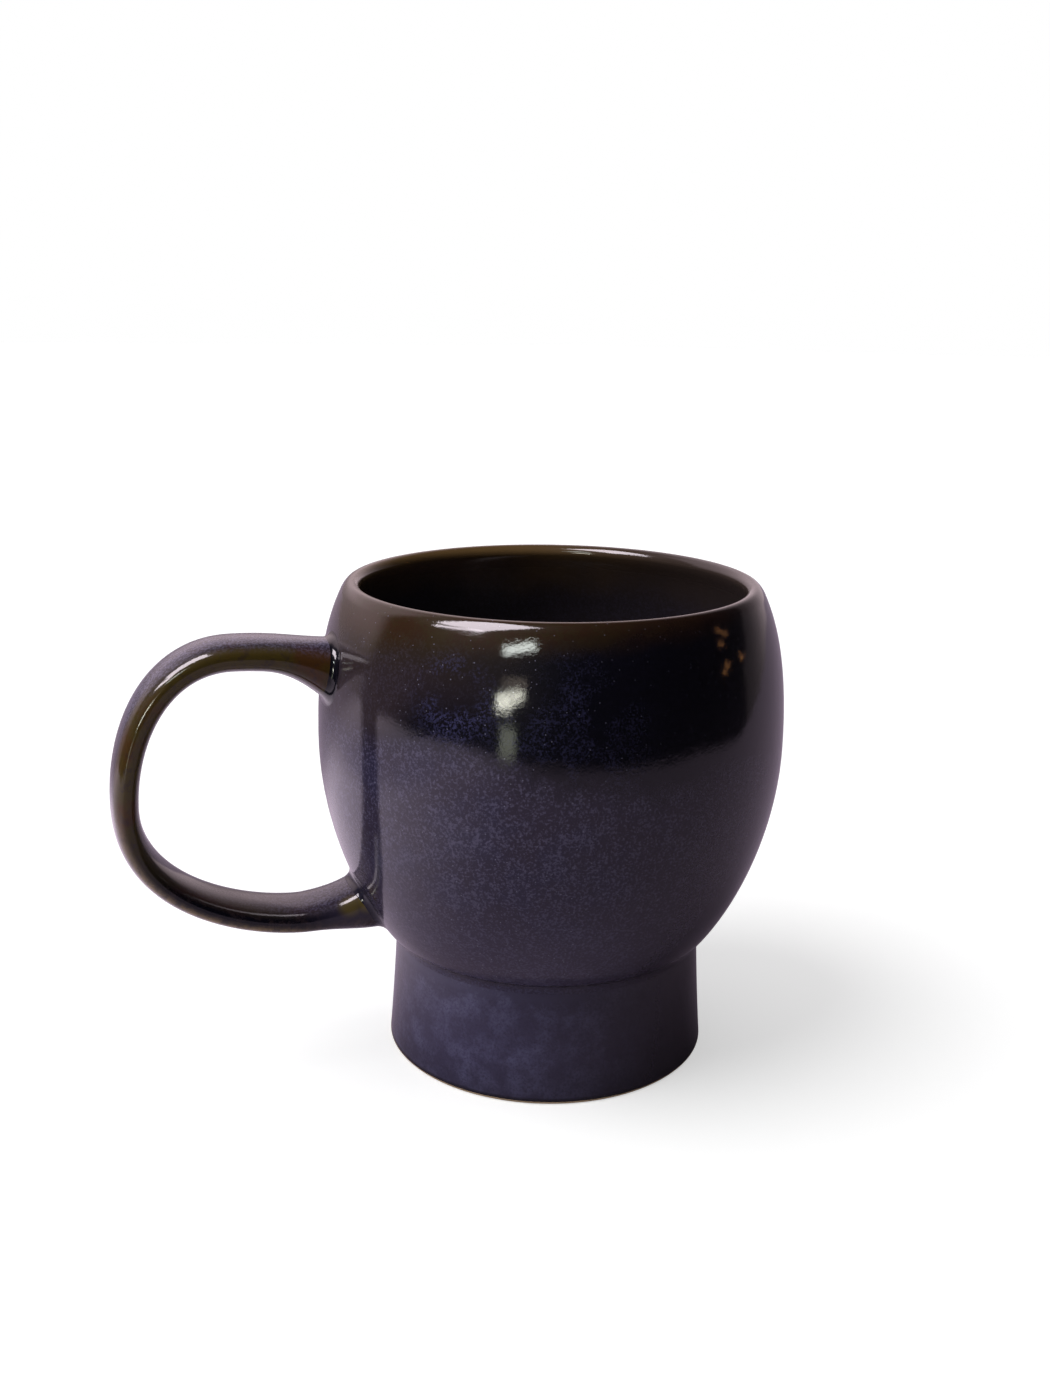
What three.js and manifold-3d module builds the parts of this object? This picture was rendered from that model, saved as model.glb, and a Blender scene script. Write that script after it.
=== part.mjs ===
// A stoneware coffee mug as a potter puts it together: a round bowl on a hollow foot ring and a strap
// handle, joined with slip, the creamy clay that a potter glues with.
// Millimetres, +Z up. The handle points along -X. The origin is on the table, under the middle of
// the mug's whole length.

import * as THREE from 'three';
import { mergeVertices } from 'three/addons/utils/BufferGeometryUtils.js';
import Module from 'manifold-3d';

const wasm = await Module();
wasm.setup();

// Bowl sizes
const mugHeight = 95.9;
const bellyRadius = 46;
const bellyBelowRim = 30.6;
const lipTopRadius = 39.1; // from the axis to the lip's highest place
const lipLean = THREE.MathUtils.degToRad(25); // the wall's lean inward where it turns into the lip
const lipTurn = THREE.MathUtils.degToRad(46); // the lean at which the lip's soft outer bend becomes a tight one
const lipSoftRounding = 5;
const lipOuterRounding = 1.4;
const lipInnerRounding = 1.7;
const shoulderRadius = 33.75; // where the wall turns into the bowl's round lower edge
const shoulderLean = THREE.MathUtils.degToRad(37); // the wall's lean outward above that edge
const shoulderRounding = 4.2;
const wall = 3.5;
const floorThickness = 5.5;
const undersideDrop = 2; // how far the bowl's underside bulges down inside the foot

// Fullness of the bowl's curves, as shares of the height that each one spans
const shoulderPull = 0.25;
const lowerBellyPull = 0.42;
const upperBellyPull = 0.57;
const lipPull = 0.15;
const floorCurveStart = 0.35; // where, up the lower curve, the inside begins to round into the floor

// Foot ring sizes
const footHeight = 23.8;
const footTopRadius = 31;
const footBottomRadius = 32.5;
const footWaist = 0.12; // how far the foot's side is drawn in at half height
const footInnerRadius = 27.3;
const footOuterRounding = 0.6;
const footInnerBevel = 1;

// Handle sizes
const strapWidth = 13;
const strapThicknessUpper = 6.8;
const strapThicknessMiddle = 5;
const strapThicknessLower = 6.1;
const pinchRounding = 0.05; // softens the place where the thinnest stretch turns, as a share of half the strap
const strapSquareness = 2.8; // 2 is an oval section, and higher is boxier
const upperRootBelowRim = 12.6;
const lowerRootAboveFoot = 7.5;
const crownRise = 1.9; // of the strap's top above its upper root
const crownReach = 16.8; // of that top, out from the belly
const handleReach = 37.1; // of the strap's outermost middle line, out from the belly
const bulgeDrop = 1.5; // of the outermost place, below half way from top to bottom
const troughReach = 4; // of the strap's lowest place, out from the belly
const troughDrop = -0.9; // of that lowest place above the lower root, so it counts as negative
const rootDepth = 4.3; // how deep in the bowl the strap's middle line begins, before it is trimmed
const upperFlare = 10; // extra thickness on the finger side at the root, dying out over the length
const upperFlareLength = 16.9;
const lowerFlare = 13.9;
const lowerFlareLength = 19.2;
const flareFalloff = 2.2;

// Slip joints
const slipThickness = 0.6; // of the bed between bowl and foot
const footBeadHeight = 2;
const footBeadReach = 0.8;
const handleBeadSize = 1.4;
const beadHollow = 0.35; // 0 is a flat bead and 1 a sharp inside corner
const gap = 0.3; // between neighbouring curved faces

// Smoothness
const turns = 60;
const profileSteps = 8;
const roundingSteps = 3;
const lipSteps = 3; // for each of the lip's bends
const strapSteps = 56;
const strapSides = 20;
const beadSides = 32;

// Derived places
const shoulderHeight = footHeight + slipThickness;
const bellyHeight = mugHeight - bellyBelowRim;
const undersideHeight = shoulderHeight - undersideDrop;
const floorHeight = undersideHeight + floorThickness;

// Materials: one for each finish
function ceramic(name, color, roughness) {
  return new THREE.MeshStandardMaterial({ name, color, roughness, metalness: 0 });
}
const bowlGlaze = ceramic('bowl_glaze', 0x1d1a35, 0.18);
const footGlaze = ceramic('foot_glaze', 0x25223f, 0.24);
const handleGlaze = ceramic('handle_glaze', 0x2a2216, 0.18);
const slipGlaze = ceramic('slip_glaze', 0x17131f, 0.2);

// Moves a point from the origin by a length along an angle
function polar(centre, radius, angle) {
  return new THREE.Vector2(centre.x + radius * Math.cos(angle), centre.y + radius * Math.sin(angle));
}

// Points of an arc, both ends included
function arcPoints(centre, radius, from, to, steps) {
  return Array.from({ length: steps + 1 }, (_, i) => polar(centre, radius, from + (to - from) * i / steps));
}

// The lip's three bends and the bowl's lower one: x is the radius and y the height
const lipTop = new THREE.Vector2(lipTopRadius, mugHeight);
const lipOuterCentre = polar(lipTop, lipOuterRounding, -Math.PI / 2);
const lipInnerCentre = polar(lipTop, lipInnerRounding, -Math.PI / 2);
const lipSoftCentre = polar(lipOuterCentre, lipSoftRounding - lipOuterRounding, lipTurn - Math.PI);
const lipEdge = polar(lipSoftCentre, lipSoftRounding, lipLean);
const shoulderEdge = new THREE.Vector2(
  shoulderRadius,
  shoulderHeight + shoulderRounding * (1 - Math.sin(shoulderLean)),
);
const shoulderCentre = polar(shoulderEdge, shoulderRounding, Math.PI - shoulderLean);

// The bowl's outside from its lower edge up to the lip
const lowerSpan = bellyHeight - shoulderEdge.y;
const lowerCurve = new THREE.CubicBezierCurve(
  shoulderEdge,
  polar(shoulderEdge, shoulderPull * lowerSpan, Math.PI / 2 - shoulderLean),
  new THREE.Vector2(bellyRadius, bellyHeight - lowerBellyPull * lowerSpan),
  new THREE.Vector2(bellyRadius, bellyHeight),
);
const upperCurve = new THREE.CubicBezierCurve(
  new THREE.Vector2(bellyRadius, bellyHeight),
  new THREE.Vector2(bellyRadius, bellyHeight + upperBellyPull * bellyBelowRim),
  polar(lipEdge, lipPull * bellyBelowRim, lipLean - Math.PI / 2),
  lipEdge,
);

// The point of a rising curve at t, moved outward by a distance, or inward by a negative one
function beside(curve, t, distance) {
  const tangent = curve.getTangent(t);
  return curve.getPoint(t).add(new THREE.Vector2(tangent.y, -tangent.x).multiplyScalar(distance));
}

// The bowl's side as points from its lower edge up to the lip, at a distance outward
function sidePoints(distance, start = 0) {
  const lower = Array.from({ length: profileSteps }, (_, i) => {
    return beside(lowerCurve, start + (1 - start) * i / profileSteps, distance);
  });
  const upper = Array.from({ length: profileSteps + 1 }, (_, i) => beside(upperCurve, i / profileSteps, distance));
  return [...lower, ...upper];
}

const outside = sidePoints(0);

// The bowl's outer radius at a height
function outerRadiusAt(height) {
  const above = outside.findIndex((point) => point.y >= height);
  if (above < 0) return outside[outside.length - 1].x;
  if (above === 0) return outside[0].x;
  const low = outside[above - 1];
  const high = outside[above];
  return THREE.MathUtils.mapLinear(height, low.y, high.y, low.x, high.x);
}

// A solid of revolution about the mug's axis from a closed section, or one that ends on the axis
function revolve(section) {
  return new THREE.LatheGeometry(section, turns).rotateX(Math.PI / 2);
}

function bowlGeometry() {
  const underside = new THREE.CubicBezierCurve(
    new THREE.Vector2(0, undersideHeight),
    new THREE.Vector2(footInnerRadius / 3, undersideHeight),
    new THREE.Vector2(footInnerRadius * 2 / 3, undersideHeight),
    new THREE.Vector2(footInnerRadius - gap, shoulderHeight),
  ).getPoints(roundingSteps + 1);
  const rounding = arcPoints(shoulderCentre, shoulderRounding, -Math.PI / 2, -shoulderLean, roundingSteps);
  const lip = [
    ...arcPoints(lipSoftCentre, lipSoftRounding, lipLean, lipTurn, lipSteps).slice(1),
    ...arcPoints(lipOuterCentre, lipOuterRounding, lipTurn, Math.PI / 2, lipSteps).slice(1),
    ...arcPoints(lipInnerCentre, lipInnerRounding, Math.PI / 2, Math.PI + lipLean, lipSteps).slice(1, -1),
  ];
  const inside = sidePoints(-wall, floorCurveStart).reverse();
  const floorEdge = inside[inside.length - 1];
  const floorSlope = lowerCurve.getTangent(floorCurveStart);
  const floor = new THREE.CubicBezierCurve(
    floorEdge,
    floorEdge.clone().addScaledVector(floorSlope, floorHeight - floorEdge.y),
    new THREE.Vector2(floorEdge.x / 2, floorHeight),
    new THREE.Vector2(0, floorHeight),
  ).getPoints(profileSteps).slice(1);
  return revolve([...underside, ...rounding.slice(0, -1), ...outside, ...lip, ...inside, ...floor]);
}

function footRingGeometry() {
  const sideBottom = new THREE.Vector2(footBottomRadius, footOuterRounding);
  const sideTop = new THREE.Vector2(footTopRadius, footHeight);
  const waist = sideBottom.clone().lerp(sideTop, 0.5);
  waist.x -= 2 * footWaist;
  const side = new THREE.QuadraticBezierCurve(sideBottom, waist, sideTop).getPoints(roundingSteps + 1);
  const roundingCentre = new THREE.Vector2(footBottomRadius - footOuterRounding, footOuterRounding);
  const rounding = arcPoints(roundingCentre, footOuterRounding, -Math.PI / 2, 0, roundingSteps).slice(0, -1);
  return revolve([
    new THREE.Vector2(footInnerRadius + footInnerBevel, 0),
    ...rounding,
    ...side,
    new THREE.Vector2(footInnerRadius, footHeight),
    new THREE.Vector2(footInnerRadius, footInnerBevel),
    new THREE.Vector2(footInnerRadius + footInnerBevel, 0),
  ]);
}

// The slip between bowl and foot: a thin bed, and a bead pressed out of it round the foot's top edge
function footSlipGeometry() {
  const bedInner = footInnerRadius + gap;
  const beadInner = footTopRadius + gap;
  const bead = new THREE.QuadraticBezierCurve(
    new THREE.Vector2(beadInner, footHeight - footBeadHeight),
    new THREE.Vector2(beadInner + beadHollow, footHeight),
    new THREE.Vector2(beadInner + footBeadReach, shoulderHeight),
  ).getPoints(roundingSteps);
  return revolve([
    new THREE.Vector2(bedInner, footHeight),
    new THREE.Vector2(beadInner, footHeight),
    ...bead,
    new THREE.Vector2(bedInner, shoulderHeight),
    new THREE.Vector2(bedInner, footHeight),
  ]);
}

// The strap's middle line, from the upper root over its top, outermost and lowest places to the lower
// root: x is the distance from the axis and y the height
const upperRootHeight = mugHeight - upperRootBelowRim;
const lowerRootHeight = footHeight + lowerRootAboveFoot;
const upperRoot = new THREE.Vector2(outerRadiusAt(upperRootHeight) - rootDepth, upperRootHeight);
const crown = new THREE.Vector2(bellyRadius + crownReach, upperRootHeight + crownRise);
const trough = new THREE.Vector2(bellyRadius + troughReach, lowerRootHeight - troughDrop);
const bulge = new THREE.Vector2(bellyRadius + handleReach, (crown.y + trough.y) / 2 - bulgeDrop);
const lowerRoot = new THREE.Vector2(outerRadiusAt(lowerRootHeight) - rootDepth, lowerRootHeight);

// Fullness of the strap's curves, as shares of the way across and the way up
const rootPull = 0.4;
const crownPull = 0.67;
const bulgePullUp = 0.49;
const bulgePullDown = 0.74;
const troughPull = 0.35;

const between = THREE.MathUtils.lerp;
const strapLine = new THREE.Path().moveTo(upperRoot.x, upperRoot.y)
  .bezierCurveTo(
    between(upperRoot.x, crown.x, rootPull), upperRoot.y,
    between(crown.x, upperRoot.x, rootPull), crown.y,
    crown.x, crown.y,
  )
  .bezierCurveTo(
    between(crown.x, bulge.x, crownPull), crown.y,
    bulge.x, between(bulge.y, crown.y, bulgePullUp),
    bulge.x, bulge.y,
  )
  .bezierCurveTo(
    bulge.x, between(bulge.y, trough.y, bulgePullDown),
    between(trough.x, bulge.x, troughPull), trough.y,
    trough.x, trough.y,
  )
  .bezierCurveTo(
    between(trough.x, lowerRoot.x, rootPull), trough.y,
    between(lowerRoot.x, trough.x, rootPull), lowerRoot.y + troughDrop,
    lowerRoot.x, lowerRoot.y,
  );
const strapLength = strapLine.getLength();

// Extra thickness near a root, at a length along the strap from it
function flareAt(length, flare, flareLength) {
  return flare * Math.max(0, 1 - length / flareLength) ** flareFalloff;
}

// The strap's own thickness: it thins evenly from both roots to the middle
function thicknessAt(along) {
  const root = along < 0.5 ? strapThicknessUpper : strapThicknessLower;
  const rise = Math.hypot(2 * along - 1, pinchRounding) - pinchRounding;
  const fullRise = Math.hypot(1, pinchRounding) - pinchRounding;
  return THREE.MathUtils.lerp(strapThicknessMiddle, root, rise / fullRise);
}

// A point on the strap's skin and the direction out of it there: along runs from 0 at the upper root
// to 1 at the lower one, and angle goes round the section from its outer side
function strapSkin(along, angle) {
  const middle = strapLine.getPoint(along);
  const tangent = strapLine.getTangent(along);
  const outward = new THREE.Vector2(-tangent.y, tangent.x);
  const flare = flareAt(along * strapLength, upperFlare, upperFlareLength)
    + flareAt((1 - along) * strapLength, lowerFlare, lowerFlareLength);
  const halfThickness = (thicknessAt(along) + flare) / 2;
  const halfWidth = strapWidth / 2;
  const rounded = (value, power) => Math.sign(value) * Math.abs(value) ** power;
  const place = 2 / strapSquareness;
  const slope = 2 - place;
  const outOffset = halfThickness * rounded(Math.cos(angle), place) - flare / 2;
  const spot = middle.addScaledVector(outward, outOffset);
  const normalOut = rounded(Math.cos(angle), slope) / halfThickness;
  const normalSide = rounded(Math.sin(angle), slope) / halfWidth;
  return {
    point: new THREE.Vector3(-spot.x, halfWidth * rounded(Math.sin(angle), place), spot.y),
    normal: new THREE.Vector3(-outward.x * normalOut, normalSide, outward.y * normalOut).normalize(),
  };
}

// Joins rings of points into one skin. The rings follow on from each other, and either the last one
// meets the first again or both ends are capped.
function skinOver(rings, closed) {
  const sides = rings[0].length;
  const positions = rings.flat().flatMap((point) => point.toArray());
  const index = [];
  const bands = closed ? rings.length : rings.length - 1;
  for (let i = 0; i < bands; i += 1) {
    const here = i * sides;
    const next = ((i + 1) % rings.length) * sides;
    for (let j = 0; j < sides; j += 1) {
      const k = (j + 1) % sides;
      index.push(here + j, here + k, next + k);
      index.push(here + j, next + k, next + j);
    }
  }
  if (!closed) {
    const last = (rings.length - 1) * sides;
    for (let j = 1; j < sides - 1; j += 1) {
      index.push(0, j + 1, j);
      index.push(last, last + j, last + j + 1);
    }
  }
  const geometry = new THREE.BufferGeometry();
  geometry.setAttribute('position', new THREE.Float32BufferAttribute(positions, 3));
  geometry.setIndex(index);
  return geometry;
}

// A closed solid for cutting, from a geometry whose faces all have some area
function solidOf(geometry) {
  const bare = geometry.clone();
  bare.deleteAttribute('normal');
  bare.deleteAttribute('uv');
  const merged = mergeVertices(bare, 1e-4);
  const corners = [];
  for (let i = 0; i < merged.index.count; i += 3) {
    const [a, b, c] = [0, 1, 2].map((corner) => merged.index.getX(i + corner));
    if (a !== b && b !== c && c !== a) corners.push(a, b, c);
  }
  return new wasm.Manifold(new wasm.Mesh({
    numProp: 3,
    vertProperties: new Float32Array(merged.attributes.position.array),
    triVerts: new Uint32Array(corners),
  }));
}

function geometryOf(solid) {
  const mesh = solid.getMesh();
  const geometry = new THREE.BufferGeometry();
  geometry.setAttribute('position', new THREE.BufferAttribute(mesh.vertProperties, 3));
  geometry.setIndex(new THREE.BufferAttribute(mesh.triVerts, 1));
  return geometry;
}

// The strap, with its roots trimmed to the bowl's side
function handleGeometry() {
  const rings = Array.from({ length: strapSteps + 1 }, (_, i) => {
    return Array.from({ length: strapSides }, (__, j) => {
      return strapSkin(i / strapSteps, j / strapSides * 2 * Math.PI).point;
    });
  });
  const grownSide = sidePoints(gap);
  const trimmer = revolve([
    new THREE.Vector2(0, grownSide[0].y),
    ...grownSide,
    new THREE.Vector2(0, grownSide[grownSide.length - 1].y),
  ]);
  return geometryOf(solidOf(skinOver(rings, false)).subtract(solidOf(trimmer)));
}

// Moves a point straight out from the axis, to lie just off the bowl's side
function ontoBowl(point) {
  const radius = outerRadiusAt(point.z) + gap;
  const scale = radius / Math.hypot(point.x, point.y);
  return new THREE.Vector3(point.x * scale, point.y * scale, point.z);
}

// How far along the strap its skin leaves the bowl, at an angle round the section. The search runs
// from the root, inside the bowl, to a place in the open.
function leavingPlace(root, open, angle) {
  let inner = root;
  let outer = open;
  for (let halving = 0; halving < 30; halving += 1) {
    const middle = (inner + outer) / 2;
    const { point } = strapSkin(middle, angle);
    const outsideBowl = Math.hypot(point.x, point.y) > outerRadiusAt(point.z) + gap;
    if (outsideBowl) outer = middle;
    else inner = middle;
  }
  return outer;
}

// A hollow bead of slip in the corner all round one end of the strap
function handleSlipGeometry(root, open) {
  const beadStep = Math.sign(open - root) * handleBeadSize / strapLength;
  const rings = Array.from({ length: beadSides }, (_, i) => {
    const angle = i / beadSides * 2 * Math.PI;
    const leaving = leavingPlace(root, open, angle);
    const foot = strapSkin(leaving, angle);
    const head = strapSkin(leaving + beadStep, angle);
    const corner = ontoBowl(foot.point.clone().addScaledVector(foot.normal, gap));
    const onStrap = head.point.clone().addScaledVector(head.normal, gap);
    const onSide = ontoBowl(foot.point.clone().addScaledVector(foot.normal, gap + handleBeadSize));
    const face = new THREE.QuadraticBezierCurve3(
      onSide,
      onSide.clone().lerp(onStrap, 0.5).lerp(corner, beadHollow),
      onStrap,
    ).getPoints(roundingSteps);
    return [corner, ...face];
  });
  if (open > root) rings.reverse();
  return skinOver(rings, true);
}

const mug = new THREE.Group();

function addPiece(name, geometry, material) {
  const mesh = new THREE.Mesh(geometry, material);
  mesh.name = name;
  mug.add(mesh);
}

const upperOpen = 0.25;
const lowerOpen = 1 - upperOpen;
addPiece('bowl', bowlGeometry(), bowlGlaze);
addPiece('foot_ring', footRingGeometry(), footGlaze);
addPiece('foot_slip_joint', footSlipGeometry(), slipGlaze);
addPiece('handle', handleGeometry(), handleGlaze);
addPiece('upper_handle_slip_joint', handleSlipGeometry(0, upperOpen), slipGlaze);
addPiece('lower_handle_slip_joint', handleSlipGeometry(1, lowerOpen), slipGlaze);

// The origin goes under the middle of the whole length
mug.position.x = -new THREE.Box3().setFromObject(mug).getCenter(new THREE.Vector3()).x;
mug.updateMatrixWorld(true);

export default mug;
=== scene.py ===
"""A glazed stoneware coffee mug: the fine surfaces and the glaze, round the part's solids.

Shapes are worked out in millimetres about the bowl's own axis, and placed in metres.
"""

import math

import bpy
import numpy as np
from mathutils import Matrix, Quaternion, Vector


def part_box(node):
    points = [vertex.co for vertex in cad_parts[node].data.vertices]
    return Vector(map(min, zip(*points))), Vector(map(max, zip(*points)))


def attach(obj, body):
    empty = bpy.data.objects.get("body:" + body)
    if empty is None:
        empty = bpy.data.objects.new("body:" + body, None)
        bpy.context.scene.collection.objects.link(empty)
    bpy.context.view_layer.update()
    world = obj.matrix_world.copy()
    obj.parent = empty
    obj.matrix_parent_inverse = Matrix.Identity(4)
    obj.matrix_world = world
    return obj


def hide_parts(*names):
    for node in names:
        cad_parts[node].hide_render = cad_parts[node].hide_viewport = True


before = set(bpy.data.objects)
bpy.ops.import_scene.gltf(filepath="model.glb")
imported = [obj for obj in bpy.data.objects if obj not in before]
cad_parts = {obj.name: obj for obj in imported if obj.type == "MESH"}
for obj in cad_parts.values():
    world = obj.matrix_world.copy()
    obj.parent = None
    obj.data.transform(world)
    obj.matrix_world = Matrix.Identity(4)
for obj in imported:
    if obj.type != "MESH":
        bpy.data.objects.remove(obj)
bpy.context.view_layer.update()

MM = 0.001

# Sizes that the part's solids give
BOWL_LOW, BOWL_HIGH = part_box("bowl")
FOOT_LOW, FOOT_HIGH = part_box("foot_ring")
STRAP_LOW, STRAP_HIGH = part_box("handle")
AXIS_X = (BOWL_LOW.x + BOWL_HIGH.x) / 2
MUG_HEIGHT = BOWL_HIGH.z / MM
BELLY_RADIUS = (BOWL_HIGH.x - BOWL_LOW.x) / 2 / MM
FOOT_HEIGHT = FOOT_HIGH.z / MM
FOOT_BOTTOM_RADIUS = (FOOT_HIGH.x - FOOT_LOW.x) / 2 / MM
STRAP_WIDTH = (STRAP_HIGH.y - STRAP_LOW.y) / MM

# Bowl, in millimetres. A PULL, here and below, says how far a curve's control point lies from its end, as a
# share of the way between its two ends
BELLY_BELOW_RIM = 30.6
LIP_TOP_RADIUS = 39.1
LIP_LEAN = math.radians(25)
LIP_TURN = math.radians(46)
LIP_SOFT_ROUNDING = 5.0
LIP_OUTER_ROUNDING = 1.4
LIP_INNER_ROUNDING = 1.7
SHOULDER_RADIUS = 33.75
SHOULDER_LEAN = math.radians(37)
SHOULDER_ROUNDING = 4.2
WALL = 3.5
FLOOR_THICKNESS = 5.5
UNDERSIDE_DROP = 2.0
SHOULDER_PULL = 0.25
LOWER_BELLY_PULL = 0.42
UPPER_BELLY_PULL = 0.57
LIP_PULL = 0.15
FLOOR_CURVE_START = 0.35
SLIP_THICKNESS = 0.6

# Foot ring
FOOT_TOP_RADIUS = 31.0
FOOT_WAIST = 0.12
FOOT_INNER_RADIUS = 27.3
FOOT_ROUNDING = 0.6
FOOT_INNER_BEVEL = 1.0
BARE_CLAY_HEIGHT = 0.55
GLAZE_ROLL = 0.12

# Strap handle. Its thickness is given at the upper root, at the thinnest and at the lower root
STRAP_THICKNESS = (6.8, 5.0, 6.1)
PINCH_ROUNDING = 0.05
STRAP_SQUARENESS = 2.45
UPPER_ROOT_BELOW_RIM = 12.6
LOWER_ROOT_ABOVE_FOOT = 7.5
CROWN_RISE = 1.9
CROWN_REACH = 16.8
HANDLE_REACH = 37.08
BULGE_DROP = 1.5
TROUGH_REACH = 4.0
TROUGH_RISE = 0.9
ROOT_DEPTH = 4.3
UPPER_FLARE, UPPER_FLARE_LENGTH = 10.0, 16.9
LOWER_FLARE, LOWER_FLARE_LENGTH = 13.9, 19.2
FLARE_FALLOFF = 2.2
ROOT_PULL = 0.4
CROWN_PULL = 0.67
BULGE_PULL_UP = 0.49
BULGE_PULL_DOWN = 0.74
TROUGH_PULL = 0.35
HANDLE_BEAD = 1.6
FOOT_BEAD = 2.0
FOOT_BEAD_END = math.radians(58)

# How deep the strap's ends lie under the bowl's side, how far the beads' edges are tucked under the skins
# that they meet, how deep the beads' hidden cores lie, and how far the crease's middle lies under the bowl
END_SUNK = 0.5
FOOT_BEAD_TUCK = 0.06
FOOT_BEAD_CORE = 0.4
HANDLE_BEAD_TUCK = 0.03
HANDLE_BEAD_CORE = 0.45
CREASE_DROP = 0.1

# Where the strap's flank, corners and outer edge fade in, as shares of its half width and half thickness
FLANK_ACROSS = (0.70, 0.98)
CORNER_ACROSS = (0.40, 0.75)
CORNER_OUTWARD = (0.30, 0.70)
OUTER_EDGE_ACROSS = (0.60, 0.85)
OUTER_EDGE_OUTWARD = (0.0, 0.55)

# Smoothness: points round the axis, steps along each curve, and the strap's rings and sides
TURNS = 224
SIDE_STEPS = 48
UNDERSIDE_STEPS = 16
SHOULDER_STEPS = 14
LIP_OUTER_STEPS = 8
LIP_INNER_STEPS = 12
FLOOR_STEPS = 32
FOOT_SIDE_STEPS = 32
FOOT_ROUNDING_STEPS = 20
FOOT_BEVEL_STEPS = 8
CREASE_STEPS = 16
STRAP_LINE_STEPS = 200
STRAP_RINGS = 260
STRAP_SIDES = 72
BEAD_STEPS = 10
SECTION_SAMPLES = 2001
HALVINGS = 30

# A point nearer to the axis than this counts as on it
ON_AXIS = 1e-9

# Derived places
SHOULDER_HEIGHT = FOOT_HEIGHT + SLIP_THICKNESS
BELLY_HEIGHT = MUG_HEIGHT - BELLY_BELOW_RIM
UNDERSIDE_HEIGHT = SHOULDER_HEIGHT - UNDERSIDE_DROP
FLOOR_HEIGHT = UNDERSIDE_HEIGHT + FLOOR_THICKNESS

# Camera, fitted to the photograph's outlines. It stands 20 degrees round from the mug's front towards the
# handle. Its distance and height are in metres, and its lens and sensor in millimetres
VIEW_TURN = math.radians(20)
CAMERA_DISTANCE = 0.2791
CAMERA_HEIGHT = 0.1498
CAMERA_PITCH = math.radians(15.73)
CAMERA_YAW = math.radians(-1.05)
CAMERA_ROLL = math.radians(0.8)
CAMERA_LENS = 37.39
CAMERA_SENSOR = 36.0
CAMERA_NEAREST = 0.01


def towards(azimuth, elevation):
    """A direction from the mug, in degrees. Azimuth 0 is towards the camera, and positive is to its right."""
    turn = math.radians(azimuth) - VIEW_TURN
    rise = math.radians(elevation)
    return Vector((math.sin(turn) * math.cos(rise), -math.cos(turn) * math.cos(rise), math.sin(rise)))


# Curves


def bezier(controls, steps):
    """Points along a Bezier curve of any degree."""
    t = np.linspace(0, 1, steps + 1)[:, None]
    layer = [np.array(control, float) + 0 * t for control in controls]
    while len(layer) > 1:
        layer = [a * (1 - t) + b * t for a, b in zip(layer, layer[1:])]
    return layer[0]


def arc(centre, radius, start, end, steps):
    """Points of an arc, both ends included, from one angle to another."""
    angle = np.linspace(start, end, steps + 1)
    return np.stack([centre[0] + radius * np.cos(angle), centre[1] + radius * np.sin(angle)], axis=1)


def polar(centre, radius, angle):
    """The point at a length and an angle from a centre."""
    return (centre[0] + radius * math.cos(angle), centre[1] + radius * math.sin(angle))


def beside(points, distance):
    """A rising line of points moved outward, or inward by a negative distance."""
    slope = np.gradient(points, axis=0)
    slope /= np.linalg.norm(slope, axis=1)[:, None]
    return points + distance * np.stack([slope[:, 1], -slope[:, 0]], axis=1)


def smooth_step(low, high, value):
    """0 below low, 1 above high, and an S curve between. low may be the larger."""
    t = np.clip((value - low) / (high - low), 0, 1)
    return t * t * (3 - 2 * t)


# The lip's three bends and the bowl's lower one, as radius and height
LIP_TOP = (LIP_TOP_RADIUS, MUG_HEIGHT)
LIP_OUTER_CENTRE = polar(LIP_TOP, LIP_OUTER_ROUNDING, -math.pi / 2)
LIP_INNER_CENTRE = polar(LIP_TOP, LIP_INNER_ROUNDING, -math.pi / 2)
LIP_SOFT_CENTRE = polar(LIP_OUTER_CENTRE, LIP_SOFT_ROUNDING - LIP_OUTER_ROUNDING, LIP_TURN - math.pi)
SHOULDER_EDGE = (SHOULDER_RADIUS, SHOULDER_HEIGHT + SHOULDER_ROUNDING * (1 - math.sin(SHOULDER_LEAN)))
SHOULDER_CENTRE = polar(SHOULDER_EDGE, SHOULDER_ROUNDING, math.pi - SHOULDER_LEAN)


def bowl_side():
    """The bowl's outside from its lower edge up to the lip, as radius and height."""
    edge = SHOULDER_EDGE
    span = BELLY_HEIGHT - edge[1]
    lip_edge = polar(LIP_SOFT_CENTRE, LIP_SOFT_ROUNDING, LIP_LEAN)
    lower = bezier([
        edge,
        polar(edge, SHOULDER_PULL * span, math.pi / 2 - SHOULDER_LEAN),
        (BELLY_RADIUS, BELLY_HEIGHT - LOWER_BELLY_PULL * span),
        (BELLY_RADIUS, BELLY_HEIGHT),
    ], SIDE_STEPS)
    upper = bezier([
        (BELLY_RADIUS, BELLY_HEIGHT),
        (BELLY_RADIUS, BELLY_HEIGHT + UPPER_BELLY_PULL * BELLY_BELOW_RIM),
        polar(lip_edge, LIP_PULL * BELLY_BELOW_RIM, LIP_LEAN - math.pi / 2),
        lip_edge,
    ], SIDE_STEPS)
    return np.vstack([lower, upper[1:]])


SIDE = bowl_side()


def side_radius(height):
    """The bowl's outer radius at a height."""
    return np.interp(height, SIDE[:, 1], SIDE[:, 0])


# Meshes


def add_object(name, data):
    """A new object in the scene."""
    item = bpy.data.objects.new(name, data)
    bpy.context.collection.objects.link(item)
    return item


def make_piece(name, points, faces, replaced):
    """A smooth mesh from points in millimetres about the bowl's axis. It stands for CAD nodes."""
    mesh = bpy.data.meshes.new(name)
    placed = [(x * MM + AXIS_X, y * MM, z * MM) for x, y, z in points]
    mesh.from_pydata(placed, [], faces)
    mesh.shade_smooth()
    piece = add_object(name, mesh)
    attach(piece, "root")
    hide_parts(*replaced)
    return piece


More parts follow.
